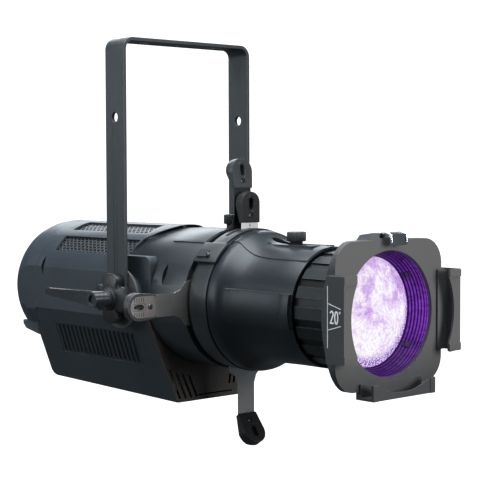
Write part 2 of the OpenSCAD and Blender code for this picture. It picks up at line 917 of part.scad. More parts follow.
module lens_tube() {
    color("Black") axis_frame() difference() {
        union() {
            xrev([[lens_bore - 2, lens_tube_x0], [tube_bore - 0.03, lens_tube_x0],
                [tube_bore - 0.03, lens_tube_x0 + 12], [64.6, lens_tube_x0 + 12.4],
                [64.6, 261.6], [tube_bore - 0.03, 262], [tube_bore - 0.03, 274],
                [64.6, 274.4], [64.6, lens_tube_x1], [lens_bore - 2, lens_tube_x1]]);
            for (i = [0:grip_count - 1])
                rotate([(i + 0.5) * 360 / grip_count, 0, 0])
                    translate([281, -6.7, 60]) cube([lens_tube_x1 - 281.3, 13.4, 6.4]);
            // boss for the focus knob
            translate([focus_x, 0, 58]) cylinder(h = 8.3, r = 8.5);
        }
        xcyl(lens_bore, lens_tube_x0 - 1, lens_tube_x1 + 1);
        translate([focus_x, 0, 50]) cylinder(h = 30, r = 5 + run_gap);
    }
}

// Half outline of a lens in (radius, x), curved in front and, if rear_r is set, behind.
module lens_half(x0, x1, front_r, rear_r) {
    intersection() {
        translate([0, x0]) square([lens_r, x1 - x0]);
        translate([0, x1 - front_r]) circle(r = front_r);
        if (rear_r > 0)
            translate([0, x0 + rear_r]) circle(r = rear_r);
    }
}

// Bi-convex lens in the back of the lens tube.
module rear_lens() {
    color("LightCyan") axis_frame() rotate([0, 90, 0]) rotate_extrude()
        lens_half(186, 216, 160, 160);
}

// Plano-convex front lens with its edge flat.
module front_lens() {
    color("LightCyan") axis_frame() rotate([0, 90, 0]) rotate_extrude()
        lens_half(lens_x - 8, lens_x + 21.5, 200, 0);
}

// Stepped black wall between the front lens and the opening.
module baffle() {
    color("Indigo") axis_frame() difference() {
        xrev([[62.2, 334], [62.4, 332.8], [72.5, 342.6], [73.2, 344.7], [73.2, 359.4],
            [opening_r, 359.4], [opening_r - 0.2, 356.4], [71, 355.5], [69.6, 353.1],
            [70.2, 351.9], [68.4, 349.6], [69, 348.3], [67, 345.6], [67.6, 344.7], [65.6, 342],
            [66, 341.2], [64, 338.5], [64.4, 337.6], [62.6, 335.2]]);
    }
}

// Front holder: flared body, front plate and the channels for slide-in frames.
module accessory_holder() {
    color("DimGray") axis_frame() difference() {
        union() {
            // collar against the end of the lens tube
            xcyl(67, 332.6, 340);
            // flared body behind the plate
            intersection() {
                xrev([[66.5, 335], [74, 335], [86, 343], [98, 351], [112, plate_x - plate_t],
                    [66.5, plate_x - plate_t]]);
                along_x(330, plate_x)
                    round_rect(2 * plate_half_y, 2 * plate_half_z, plate_corner);
            }
            along_x(plate_x - plate_t, plate_x)
                round_rect(2 * plate_half_y, 2 * plate_half_z, plate_corner);
            // side channels: block beside the plate, rear flange and outer wall
            for (s = [-1, 1]) {
                along_x(358, plate_x) translate([s * 89.5, 0])
                    square([11, 2 * channel_half_z], center = true);
                along_x(plate_x - 0.1, channel_back_x) translate([s * 86, 0])
                    square([18, 90], center = true);
                along_x(358, lip_back_x + 0.1) translate([s * 93.5, 0])
                    square([3, 2 * channel_half_z], center = true);
            }
            // bottom channel
            along_x(360, plate_x) translate([0, -85]) square([2 * channel_half_y, 10], center = true);
            along_x(plate_x - 0.1, channel_back_x) translate([0, -81.5])
                square([2 * channel_half_y, 17], center = true);
            along_x(360, lip_back_x + 0.1) translate([0, -88.6])
                square([2 * channel_half_y, 2.8], center = true);
            // lips cut to a circle, with thicker pads at their ends
            difference() {
                union() {
                    along_x(lip_back_x, lip_x) union() {
                        for (s = [-1, 1])
                            translate([s * 85.2, 0]) square([19.6, 2 * channel_half_z], center = true);
                        translate([0, -81.2]) square([2 * channel_half_y, 17.6], center = true);
                    }
                    along_x(lip_x - 0.1, lip_x + 1) union() {
                        for (s = [-1, 1], t = [-1, 1])
                            polygon([[s * 75.6, t * 47], [s * 95.2, t * 45.6], [s * 95.2, t * 37.6],
                                [s * 75.6, t * 38.4]]);
                        for (s = [-1, 1])
                            translate([s * 46.5, -81.2]) square([8, 17.6], center = true);
                    }
                }
                xcyl(lip_r, lip_back_x - 1, lip_x + 2);
            }
            // hood that carries the latch
            intersection() {
                along_y(-32, 32) polygon([[337, 76], [341, 87], [358, 89.5], [plate_x, 89.5],
                    [plate_x, 76]]);
                along_x(330, 370) polygon([[-31, 76], [31, 76], [23, 90], [-23, 90]]);
            }
        }
        // seat of the baffle, and the opening in front of it
        xrev([[0, 330], [62.5, 330], [62.5, 332.6], [72.65, 342.4], [73.4, 344.5],
            [73.4, plate_x - plate_t - 0.4], [0, plate_x - plate_t - 0.4]]);
        xcyl(opening_r, 350, plate_x + 1);
        // pin hole of the latch and the notches its arms swing in
        translate([latch_x, 0, latch_z]) ycyl(1.6 + run_gap, -20, 20);
        for (s = [-1, 1])
            translate([latch_x - 6, s * 14.2 - 3.6, 83.6]) cube([20, 7.2, 10]);
    }
}

// Fluted focus knob; its neck passes the slot in the outer tube.
module focus_knob() {
    color("Black") axis_frame() translate([focus_x, 0, 0]) union() {
        translate([0, 0, 74.7]) difference() {
            cylinder(h = 11.5, r = 11.5);
            for (i = [0:17])
                rotate([0, 0, i * 20]) translate([12, 0, -1]) cylinder(h = 13, r = 1.2);
        }
        translate([0, 0, 66.6]) cylinder(h = 8.4, r = focus_neck_r);
        translate([0, 0, 62.8]) cylinder(h = 5, r = 5);
    }
}

// Sprung latch over the mouth of the channels: folded plate, pin and two side wires.
module latch() {
    color("Silver") axis_frame() union() {
        translate([latch_x, 0, latch_z]) ycyl(1.6, -13.4, 13.4);
        for (s = [-1, 1])
            translate([latch_x - 1.6, s * 12.2 - 1.2, latch_z - 1.2]) cube([19.2, 2.4, 4]);
        translate([368.5, -12.6, 87.4]) cube([7.9, 25.2, 1.4]);
        translate([375, -10, 75.6]) cube([1.4, 20, 13]);
        for (s = [-1, 1])
            translate([376, s * 12.2, 76]) cylinder(h = 12.5, r = 1.3);
    }
}

// ---- what is drawn ----

yoke();
friction_disc_near();
friction_disc_far();
pivot_boss_near();
pivot_boss_far();
pivot_stud_near();
pivot_stud_far();
pivot_nut_far();
tilt_knob();
tilt_lever();
rear_housing();
top_grille();
louvre_near();
louvre_far();
front_cover();
rear_cap();
cable_bay();
connector_panel();
power_inlet();
data_in();
data_out();
fuse_holder();
control_panel();
display();
button_1();
button_2();
button_3();
button_4();
fan_frame();
fan_rotor();
heat_sink();
led_board();
led_emitters();
collimator();
light_pipe();
driver_board();
power_supply();
mid_barrel();
lock_knob();
gate_housing();
gate_aperture();
top_cover();
shutter_top();
shutter_far();
shutter_bottom();
shutter_near();
grip_top();
grip_far();
grip_bottom();
grip_near();
gobo_holder();
gobo_grip();
outer_tube();
lens_tube();
rear_lens();
front_lens();
baffle();
accessory_holder();
focus_knob();
latch();
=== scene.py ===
"""Looks for the ellipsoidal spotlight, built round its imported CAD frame."""

import json
import math

import bmesh
import bpy
from mathutils import Matrix, Vector


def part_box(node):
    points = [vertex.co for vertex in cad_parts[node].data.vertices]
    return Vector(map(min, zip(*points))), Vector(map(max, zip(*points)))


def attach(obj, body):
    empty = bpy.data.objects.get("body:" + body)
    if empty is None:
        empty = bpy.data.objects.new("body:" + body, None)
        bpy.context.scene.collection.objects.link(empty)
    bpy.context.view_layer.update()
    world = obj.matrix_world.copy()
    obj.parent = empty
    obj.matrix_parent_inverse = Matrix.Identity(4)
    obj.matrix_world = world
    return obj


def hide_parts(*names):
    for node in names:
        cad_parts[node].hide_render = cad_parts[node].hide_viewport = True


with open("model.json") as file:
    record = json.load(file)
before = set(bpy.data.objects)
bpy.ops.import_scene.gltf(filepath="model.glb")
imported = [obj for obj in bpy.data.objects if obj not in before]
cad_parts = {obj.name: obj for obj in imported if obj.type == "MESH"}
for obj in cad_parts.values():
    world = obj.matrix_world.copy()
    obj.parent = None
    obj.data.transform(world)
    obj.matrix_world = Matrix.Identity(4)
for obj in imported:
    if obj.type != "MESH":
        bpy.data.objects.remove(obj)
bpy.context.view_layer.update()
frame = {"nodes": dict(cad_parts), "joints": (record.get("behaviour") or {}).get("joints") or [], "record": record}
NODES = frame["nodes"]
JOINTS = {j["name"]: j for j in frame["joints"]}
AXIS = Vector(JOINTS["head_tilt"]["pos_m"])      # where the tilt axis meets the beam axis
MM = 0.001

# Sizes of the CAD nodes, in millimetres from the tilt axis
SIDE_KNEE = (85.0, -27.0)       # y and z where the lower box's side starts to lean in
SIDE_FOOT = (51.5, -131.0)      # y and z of its lower edge
FIRST_SLIT, SLIT_PITCH = 8.0, 167 / 17.6    # along the louvre panel, from its rear edge
GRILLE_R = 86.0                 # inside of the grille sheet
FOCUS_HEAD_FOOT = 74.7          # height where the focus knob's head starts
FIRST_STEP, STEP_PITCH = 334.03, 3.57       # along the beam, of the wall round the lens
PAINTED_LIGHT_FADE = -83.0              # height below which the holder's front gets no painted light


def W(x, y, z):
    """A point given in millimetres from the tilt axis, in the row frame."""
    return AXIS + Vector((x, y, z)) * MM


# ---------------------------------------------------------------- materials

class Graph:
    """Small helper for building a material's nodes."""

    def __init__(self, name):
        self.mat = bpy.data.materials.new(name)
        self.mat.use_nodes = True
        self.tree = self.mat.node_tree
        self.nodes = self.tree.nodes
        self.bsdf = self.nodes["Principled BSDF"]
        self.coord = self.add("ShaderNodeTexCoord")

    def add(self, kind, **values):
        node = self.nodes.new(kind)
        for key, value in values.items():
            if hasattr(node, key):
                setattr(node, key, value)
            else:
                node.inputs[key.replace("_", " ")].default_value = value
        return node

    def link(self, a, b):
        self.tree.links.new(a, b)

    def noise(self, scale, detail=3.0, rough=0.5, stretch=None):
        tex = self.add("ShaderNodeTexNoise")
        tex.inputs["Scale"].default_value = scale
        tex.inputs["Detail"].default_value = detail
        tex.inputs["Roughness"].default_value = rough
        if stretch:
            mapping = self.add("ShaderNodeMapping")
            mapping.inputs["Scale"].default_value = stretch
            self.link(self.coord.outputs["Object"], mapping.inputs["Vector"])
            self.link(mapping.outputs["Vector"], tex.inputs["Vector"])
        else:
            self.link(self.coord.outputs["Object"], tex.inputs["Vector"])
        return tex.outputs["Fac"]

    def ramp(self, source, stops):
        ramp = self.add("ShaderNodeValToRGB")
        while len(ramp.color_ramp.elements) < len(stops):
            ramp.color_ramp.elements.new(0.5)
        for element, (place, value) in zip(ramp.color_ramp.elements, stops):
            element.position = place
            element.color = (value, value, value, 1) if isinstance(value, float) else (*value, 1)
        self.link(source, ramp.inputs["Fac"])
        return ramp.outputs["Color"]

    def mix(self, factor, a, b):
        node = self.add("ShaderNodeMix", data_type="RGBA")
        for socket, value in ((node.inputs[0], factor), (node.inputs[6], a), (node.inputs[7], b)):
            if isinstance(value, bpy.types.NodeSocket):
                self.link(value, socket)
            elif isinstance(value, (int, float)):
                socket.default_value = value
            else:
                socket.default_value = (*value, 1)
        return node.outputs[2]

    def math(self, operation, a, b=None):
        node = self.add("ShaderNodeMath", operation=operation)
        for socket, value in ((node.inputs[0], a), (node.inputs[1], b)):
            if value is None:
                continue
            if isinstance(value, bpy.types.NodeSocket):
                self.link(value, socket)
            else:
                socket.default_value = value
        return node.outputs[0]

    def edge_mask(self, radius, low, high):
        """1 on sharp edges, 0 on open faces."""
        bevel = self.add("ShaderNodeBevel", samples=4)
        bevel.inputs["Radius"].default_value = radius
        geometry = self.add("ShaderNodeNewGeometry")
        dot = self.add("ShaderNodeVectorMath", operation="DOT_PRODUCT")
        self.link(bevel.outputs["Normal"], dot.inputs[0])
        self.link(geometry.outputs["Normal"], dot.inputs[1])
        return self.ramp(dot.outputs["Value"], [(low, 1.0), (high, 0.0)])

    def position(self, axis):
        """Distance in metres from the tilt axis along X, Y or Z."""
        split = self.add("ShaderNodeSeparateXYZ")
        self.link(self.coord.outputs["Object"], split.inputs[0])
        return self.math("SUBTRACT", split.outputs[axis], AXIS["XYZ".index(axis)])

    def axis_distance(self):
        """Distance in metres from the beam axis."""
        y, z = self.position("Y"), self.position("Z")
        return self.math("SQRT", self.math("ADD", self.math("MULTIPLY", y, y),
                                           self.math("MULTIPLY", z, z)))

    def tint(self, factor, a, b):
        """Colour a multiplied by colour b."""
        node = self.add("ShaderNodeMix", data_type="RGBA", blend_type="MULTIPLY")
        node.inputs[0].default_value = factor
        self.link(a, node.inputs[6])
        self.link(b, node.inputs[7])
        return node.outputs[2]

    def roughness(self, source, low, high):
        span = self.add("ShaderNodeMapRange")
        span.inputs["To Min"].default_value = low
        span.inputs["To Max"].default_value = high
        self.link(source, span.inputs["Value"])
        self.link(span.outputs["Result"], self.bsdf.inputs["Roughness"])

    def facing(self, low, high):
        """1 on faces square to the beam, 0 on the others."""
        split = self.add("ShaderNodeSeparateXYZ")
        self.link(self.add("ShaderNodeNewGeometry").outputs["Normal"], split.inputs[0])
        return self.ramp(self.math("ABSOLUTE", split.outputs["X"]), [(low, 0.0), (high, 1.0)])

    def bump(self, height, strength, distance):
        node = self.add("ShaderNodeBump")
        node.inputs["Strength"].default_value = strength
        node.inputs["Distance"].default_value = distance
        self.link(height, node.inputs["Height"])
        self.link(node.outputs["Normal"], self.bsdf.inputs["Normal"])


def coat(name, color, rough=0.42, vary=0.12, grain=1500.0, bump=0.25, wear_and_highlight=0.25,
         edge=(0.30, 0.32, 0.34), spec=0.5, depth=0.00012, front=None, painted_shade_radius=None):
    """Paint or moulded plastic with fine grain, soft blotches and lightened edges, partly rubbed paint and partly
    painted highlight.

    front is a paler colour painted on as light, on faces square to the beam and fading out lower down, and the
    last argument a radius from the beam axis below which the surface is painted near-black as shade.
    """
    g = Graph(name)
    dark = tuple(c * (1 - vary) for c in color)
    light = tuple(min(1, c * (1 + vary)) for c in color)
    blotch = g.ramp(g.noise(18.0, 4.0), [(0.32, dark), (0.68, light)])
    speck = g.noise(grain * 0.5, 2.0)
    tone = g.mix(g.math("MULTIPLY", speck, 0.16), blotch, light)
    # painted light: faces square to the beam take the paler front colour, fading out towards the bottom
    if front:
        height = g.math("MULTIPLY", g.math("SUBTRACT", g.position("Z"), PAINTED_LIGHT_FADE * MM), 6.0)
        pale = g.math("MULTIPLY", g.facing(0.80, 0.97), g.ramp(height, [(0.02, 0.1), (0.3, 1.0)]))
        tone = g.mix(pale, tone, front)
    # painted shade: the surface goes near-black inside this radius from the beam axis
    if painted_shade_radius:
        reach = g.math("DIVIDE", g.axis_distance(), 2 * painted_shade_radius)
        below = g.ramp(reach, [(0.4965, 1.0), (0.5, 0.0)])
        tone = g.mix(below, tone, (0.0012, 0.0013, 0.0015))
    # edges lightened, partly as rubbed paint and partly as painted highlights
    if wear_and_highlight > 0:
        mask = g.edge_mask(0.0009, 0.80, 0.985)
        broken = g.ramp(g.noise(160.0, 5.0, 0.65), [(0.38, 0.15), (0.62, 1.0)])
        worn_and_lit = g.math("MULTIPLY", g.math("MULTIPLY", mask, broken), wear_and_highlight)
        tone = g.mix(worn_and_lit, tone, edge)
    g.link(tone, g.bsdf.inputs["Base Color"])
    g.roughness(g.noise(9.0, 3.0), rough - 0.07, rough + 0.09)
    g.bump(g.noise(grain, 2.0), bump, depth)
    g.bsdf.inputs["Specular IOR Level"].default_value = spec
    return g.mat


def metal(name, color, rough=0.28, stretch=(1, 1, 60), scale=30.0, bump=0.12, dirt=0.25):
    """Bare metal with a brushed direction and faint staining."""
    g = Graph(name)
    lines = g.noise(scale, 6.0, 0.7, stretch)
    stain = g.noise(26.0, 4.0)
    dark = tuple(c * (1 - dirt) for c in color)
    g.link(g.mix(g.ramp(stain, [(0.35, 0.0), (0.75, 1.0)]), color, dark),
           g.bsdf.inputs["Base Color"])
    g.roughness(lines, max(0.04, rough - 0.1), rough + 0.12)
    g.bump(lines, bump, 0.00008)
    g.bsdf.inputs["Metallic"].default_value = 1.0
    return g.mat


def glow_lens(name):
    """Front lens lit from within: white and pale violet patches, a speckled violet rim."""
    g = Graph(name)
    z = g.position("Z")
    turbulence = g.add("ShaderNodeTexNoise")
    turbulence.inputs["Scale"].default_value = 26.0
    turbulence.inputs["Detail"].default_value = 5.0
    g.link(g.coord.outputs["Object"], turbulence.inputs["Vector"])
    shifted = g.add("ShaderNodeVectorMath", operation="MULTIPLY_ADD")
    g.link(turbulence.outputs["Color"], shifted.inputs[0])
    shifted.inputs[1].default_value = (0.06, 0.06, 0.06)
    g.link(g.coord.outputs["Object"], shifted.inputs[2])
    cells = g.add("ShaderNodeTexVoronoi", feature="SMOOTH_F1")
    cells.inputs["Scale"].default_value = 38.0
    g.link(shifted.outputs[0], cells.inputs["Vector"])
    body = g.ramp(cells.outputs["Distance"],
                  [(0.20, (1.0, 1.0, 1.0)), (0.52, (0.93, 0.84, 0.95)),
                   (0.82, (0.66, 0.44, 0.80))])
    upper = g.math("MULTIPLY", g.math("MAXIMUM", z, -0.03), -1.9)
    cloud = g.ramp(g.math("ADD", g.noise(31.0, 7.0, 0.70), upper),
                   [(0.36, (0.52, 0.28, 0.72)), (0.43, (0.86, 0.72, 0.92)),
                    (0.49, (1.0, 1.0, 1.0))])
    tone = g.mix(0.68, body, cloud)
    fine = g.ramp(g.noise(260.0, 3.0, 0.7), [(0.42, (0.66, 0.46, 0.80)), (0.54, (1.0, 1.0, 1.0))])
    tone = g.tint(0.42, tone, fine)
    folds = g.math("ABSOLUTE", g.math("SUBTRACT", g.noise(24.0, 6.0, 0.62), 0.5))
    wisps = g.ramp(folds, [(0.0, (0.70, 0.50, 0.84)), (0.022, (1.0, 1.0, 1.0))])
    tone = g.tint(0.7, tone, wisps)
    # speckles grow towards the rim, most of all at the bottom
    edge = g.math("ADD", g.math("DIVIDE", g.axis_distance(), 0.062),
                  g.math("MULTIPLY", z, -1.7))
    rim = g.ramp(edge, [(0.84, 0.0), (1.04, 1.0)])
    speckle = g.ramp(g.noise(560.0, 2.0, 0.6), [(0.43, 0.0), (0.55, 1.0)])
    rim_tone = g.mix(speckle, (0.10, 0.02, 0.34), (0.80, 0.62, 0.95))
    tone = g.mix(rim, tone, rim_tone)
    g.bsdf.inputs["Base Color"].default_value = (0.03, 0.02, 0.05, 1)
    g.link(tone, g.bsdf.inputs["Emission Color"])
    g.bsdf.inputs["Emission Strength"].default_value = 0.98
    g.bsdf.inputs["Roughness"].default_value = 0.08
    g.bump(cells.outputs["Distance"], 0.15, 0.0006)
    return g.mat


def glow_wall(name):
    """Black stepped wall lit violet by the beam, brightest on the edges of its steps."""
    g = Graph(name)
    blot = g.noise(45.0, 4.0)
    g.link(g.ramp(blot, [(0.3, (0.006, 0.001, 0.014)), (0.7, (0.014, 0.003, 0.032))]),
           g.bsdf.inputs["Base Color"])
    at = g.math("SUBTRACT", g.position("X"), FIRST_STEP * MM)
    lips = g.ramp(g.math("FRACT", g.math("DIVIDE", at, STEP_PITCH * MM)),
                  [(0.05, 0.30), (0.22, 0.0), (0.50, 0.10), (0.72, 1.0), (0.95, 1.0)])
    middle = g.math("MULTIPLY", g.math("ABSOLUTE", g.position("Z")), -11.0)
    middle = g.math("MAXIMUM", g.math("ADD", middle, 1.0), 0.13)
    streak = g.ramp(g.noise(30.0, 4.0, 0.7, (1.0, 6.0, 6.0)), [(0.35, 0.35), (0.7, 1.0)])
    glow = g.mix(lips, (0.010, 0.0006, 0.034), (0.200, 0.045, 0.480))
    g.link(glow, g.bsdf.inputs["Emission Color"])
    g.link(g.math("MULTIPLY", g.math("MULTIPLY", middle, streak), 1.6),
           g.bsdf.inputs["Emission Strength"])
    g.bsdf.inputs["Roughness"].default_value = 0.42
    g.bsdf.inputs["Specular IOR Level"].default_value = 0.06
    g.bump(g.noise(900.0, 2.0), 0.2, 0.0001)
    return g.mat


def clear(name, tint):
    g = Graph(name)
    g.bsdf.inputs["Base Color"].default_value = (*tint, 1)
    g.bsdf.inputs["Transmission Weight"].default_value = 0.9
    g.bsdf.inputs["Roughness"].default_value = 0.03
    g.bump(g.noise(40.0, 2.0), 0.03, 0.0002)
    return g.mat


# the edge lightening in these coats is partly rubbed paint and partly painted highlight
MAT = {
    "yoke_paint": coat("powder_coat_yoke", (0.026, 0.030, 0.033), 0.46, spec=0.45, bump=0.5,
                       depth=0.0002, grain=900, wear_and_highlight=0.45, edge=(0.26, 0.25, 0.24)),
    "housing_paint": coat("cast_paint_housing", (0.024, 0.031, 0.038), 0.42, wear_and_highlight=0.45,
                          edge=(0.24, 0.26, 0.28)),
    "barrel_paint": coat("cast_paint_barrel", (0.015, 0.018, 0.021), 0.38, wear_and_highlight=0.45,
                         edge=(0.24, 0.26, 0.28)),
    "tube_paint": coat("cast_paint_tube", (0.008, 0.011, 0.014), 0.38, wear_and_highlight=0.45, spec=0.34,
                       edge=(0.22, 0.24, 0.26)),
    "gate_paint": coat("cast_paint_gate", (0.017, 0.019, 0.021), 0.44, wear_and_highlight=0.25,
                       edge=(0.18, 0.18, 0.18)),
    # front: paler faces square to the beam, painted light that fades out towards the bottom
    "holder_paint": coat("holder_paint_with_painted_light", (0.030, 0.031, 0.033), 0.60, bump=0.45, vary=0.2,
                         front=(0.088, 0.086, 0.084), grain=1100, wear_and_highlight=0.35,
                         edge=(0.24, 0.24, 0.24)),
    "cover_paint": coat("paint_cover", (0.050, 0.040, 0.034), 0.5, wear_and_highlight=0.35,
                        edge=(0.12, 0.11, 0.10)),
    "grille_metal": coat("grille_sheet", (0.058, 0.062, 0.067), 0.45, wear_and_highlight=0.2),
    "louvre_paint": coat("paint_louvres", (0.020, 0.024, 0.028), 0.45, wear_and_highlight=0.3,
                         edge=(0.12, 0.14, 0.16)),
    "bay_plastic": coat("plastic_bay", (0.060, 0.066, 0.075), 0.42, wear_and_highlight=0.1),
    "bare_aluminium": metal("extruded_aluminium", (0.62, 0.63, 0.65), 0.38, (60, 1, 1)),
    "steel": metal("stainless_blade", (0.50, 0.49, 0.48), 0.34),
    "lever_metal": coat("lever_enamel", (0.020, 0.022, 0.025), 0.26, wear_and_highlight=0.6, spec=0.7,
                        edge=(0.30, 0.31, 0.33)),
    "knob_plastic": coat("knob_plastic", (0.012, 0.012, 0.013), 0.38, grain=2200, wear_and_highlight=0.25,
                         edge=(0.10, 0.10, 0.10)),
    "grip_plastic": coat("grip_plastic", (0.026, 0.028, 0.031), 0.42, grain=1800, wear_and_highlight=0.25,
                         edge=(0.12, 0.12, 0.12)),
    "friction_fibre": coat("friction_fibre", (0.050, 0.050, 0.050), 0.6, vary=0.3),
    "latch_metal": metal("latch_spring", (0.66, 0.67, 0.69), 0.16, (20, 1, 1)),
    "lens_glass": clear("lens_glass", (0.93, 0.90, 1.0)),
    "baffle_black": glow_wall("baffle_wall"),
    "panel_black": coat("panel_black", (0.012, 0.013, 0.014), 0.4),
    "socket_black": coat("socket_black", (0.010, 0.010, 0.011), 0.35),
    "socket_metal": metal("socket_nickel", (0.55, 0.54, 0.52), 0.25),
    "display_glass": coat("display_window", (0.010, 0.03, 0.06), 0.08, wear_and_highlight=0, bump=0.02),
    "button_rubber": coat("button_rubber", (0.10, 0.11, 0.12), 0.7, wear_and_highlight=0),
    "fan_plastic": coat("fan_plastic", (0.014, 0.014, 0.015), 0.45),
    "board_white": coat("board_white", (0.72, 0.73, 0.70), 0.35, wear_and_highlight=0),
    "emitter_copper": metal("emitter_copper", (0.80, 0.48, 0.28), 0.35),
    "board_green": coat("board_green", (0.03, 0.15, 0.06), 0.35, wear_and_highlight=0),
    "reflector": metal("reflector_bright", (0.82, 0.83, 0.85), 0.12),
    "white_print": coat("white_print", (0.92, 0.92, 0.92), 0.5, wear_and_highlight=0, bump=0.05),
    # near-black inside 65.7 mm from the beam axis, painted shade on the sliding tube
    "sliding_paint": coat("sliding_tube_paint_and_painted_shade", (0.009, 0.011, 0.012), 0.42, wear_and_highlight=0.5, spec=0.28,
                          edge=(0.22, 0.23, 0.24), painted_shade_radius=0.0657),
    "screw_dark": metal("screw_blackened", (0.09, 0.09, 0.095), 0.40, (8, 8, 8)),
    # a darker, less shiny copy of the grip plastic for the bottom grip and the gobo grip; on the bottom grip it is
    # painted shade
    "grip_dark": coat("grip_plastic_dark", (0.012, 0.013, 0.014), 0.45, grain=1800, wear_and_highlight=0.25,
                      spec=0.3, edge=(0.10, 0.10, 0.10)),
    "grip_plate": metal("grip_face_plate", (0.50, 0.46, 0.44), 0.36, (1, 30, 1)),
    "bright_holder": metal("pattern_holder_sheet", (0.92, 0.92, 0.92), 0.50),
    # a darker copy of the blade steel, painted shade on the top shutter
    "blade_steel_painted_shade": metal("stainless_blade_shaded", (0.05, 0.05, 0.052), 0.45),
    # violet base colour is painted light from the glowing lens and wall
    "clip_painted_violet_light": coat("clip_lit_violet", (0.030, 0.010, 0.070), 0.4, wear_and_highlight=0),
    # near-black, painted shade behind the grille holes
    "painted_shade_black": coat("gap_painted_shade", (0.004, 0.004, 0.005), 0.7, wear_and_highlight=0),
}
SLOT_OF = {s["node"]: s["material_slot"] for s in frame["record"]["subparts"]}


def set_material(obj, material):
    obj.data.materials.clear()
    obj.data.materials.append(material)


SOFT_EDGE = {"yoke": 0.6, "rear_housing": 1.2, "front_cover": 0.5, "mid_barrel": 0.7,
             "gate_housing": 0.5, "top_cover": 0.5, "outer_tube": 0.5, "tilt_lever": 1.0,
             "accessory_holder": 0.8, "cable_bay": 1.0, "pivot_boss_near": 1.0,
             "pivot_boss_far": 1.0, "friction_disc_near": 0.4, "friction_disc_far": 0.4,
             "pivot_nut_far": 0.6, "control_panel": 0.4, "grip_top": 1.0, "grip_far": 1.0,
             "grip_bottom": 1.0, "grip_near": 1.0, "gobo_grip": 1.0, "latch": 0.2}


def soften(obj, width):
    """Round the edges of a CAD node with modifiers; its own mesh isn't touched."""
    weld = obj.modifiers.new("weld", "WELD")
    weld.merge_threshold = 1e-6
    bevel = obj.modifiers.new("round", "BEVEL")
    bevel.width = width * MM
    bevel.segments = 3
    bevel.limit_method = "ANGLE"
    bevel.angle_limit = math.radians(38)
    bevel.use_clamp_overlap = True
    bevel.harden_normals = False


for node_name, node_obj in NODES.items():
    set_material(node_obj, MAT[SLOT_OF[node_name]])
    if node_name in SOFT_EDGE:
        soften(node_obj, SOFT_EDGE[node_name])

for node_name, material in (("lens_tube", "sliding_paint"), ("gobo_holder", "bright_holder"),
                            ("shutter_top", "blade_steel_painted_shade"), ("grip_bottom", "grip_dark"),
                            ("gobo_grip", "grip_dark")):
    set_material(NODES[node_name], MAT[material])

# ---------------------------------------------------------------- mesh helpers


def new_piece(name, verts, faces, material, body, smooth=True, angle=35):
    mesh = bpy.data.meshes.new(name)
    mesh.from_pydata([tuple(v) for v in verts], [], faces)
    mesh.validate()
    bm = bmesh.new()
    bm.from_mesh(mesh)
    bmesh.ops.remove_doubles(bm, verts=bm.verts, dist=1e-7)
    bmesh.ops.recalc_face_normals(bm, faces=bm.faces)
    bm.to_mesh(mesh)
    bm.free()
    obj = bpy.data.objects.new(name, mesh)
    bpy.context.scene.collection.objects.link(obj)
    obj.data.materials.append(material)
    if smooth:
        mesh.shade_smooth()
        mesh.set_sharp_from_angle(angle=math.radians(angle))
    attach(obj, body)
    return obj


def lathe(name, profile, material, body, steps, along, origin=(0, 0, 0), closed=True,
          shape=None):
    """Turns a (radius, distance) outline once round the Y or Z axis through origin."""
    verts, faces = [], []
    for i in range(steps):
        a = math.radians(360.0 * i / steps)
        for r, d in profile:
            if shape:
                r = shape(r, d, a)
            c, s = r * math.cos(a), r * math.sin(a)
            p = (s, d, c) if along == "y" else (c, s, d)
            verts.append(W(origin[0] + p[0], origin[1] + p[1], origin[2] + p[2]))
    n = len(profile)
    for i in range(steps):
        j = (i + 1) % steps
        for k in range(n if closed else n - 1):
            m = (k + 1) % n
            faces.append((i * n + k, i * n + m, j * n + m, j * n + k))
    return new_piece(name, verts, faces, material, body)


def smoothstep(a, b, x):
    t = min(1.0, max(0.0, (x - a) / (b - a)))
    return t * t * (3 - 2 * t)


# ---------------------------------------------------------------- camera, light, floor

def look(azimuth, pitch, roll):
    a, e, r = math.radians(azimuth), math.radians(pitch), math.radians(roll)
    d = Vector((-math.sin(a) * math.cos(e), math.cos(a) * math.cos(e), -math.sin(e)))
    right = Vector((math.cos(a), math.sin(a), 0))
    up = right.cross(d)
    rr = right * math.cos(r) + up * math.sin(r)
    uu = -right * math.sin(r) + up * math.cos(r)
    return Matrix((rr, uu, -d)).transposed()


def make_camera():
    data = bpy.data.cameras.new("camera")
    data.sensor_width = 36.0
    data.lens = 101.2
    data.clip_end = 50
    obj = bpy.data.objects.new("camera", data)
    bpy.context.scene.collection.objects.link(obj)
    obj.matrix_world = Matrix.Translation(W(1358.2, -1107.2, 152.9)) @ \
        look(48.29, 2.75, -0.21).to_4x4()
    bpy.context.scene.camera = obj


def make_light(name, place, target, size, power, color=(1, 1, 1)):
    data = bpy.data.lights.new(name, "AREA")
    data.shape = "RECTANGLE"
    data.size, data.size_y = size
    data.energy = power
    data.color = color
    obj = bpy.data.objects.new(name, data)
    bpy.context.scene.collection.objects.link(obj)
    obj.location = W(*place)
    direction = W(*target) - obj.location
    obj.rotation_euler = direction.to_track_quat("-Z", "Y").to_euler()
    return obj


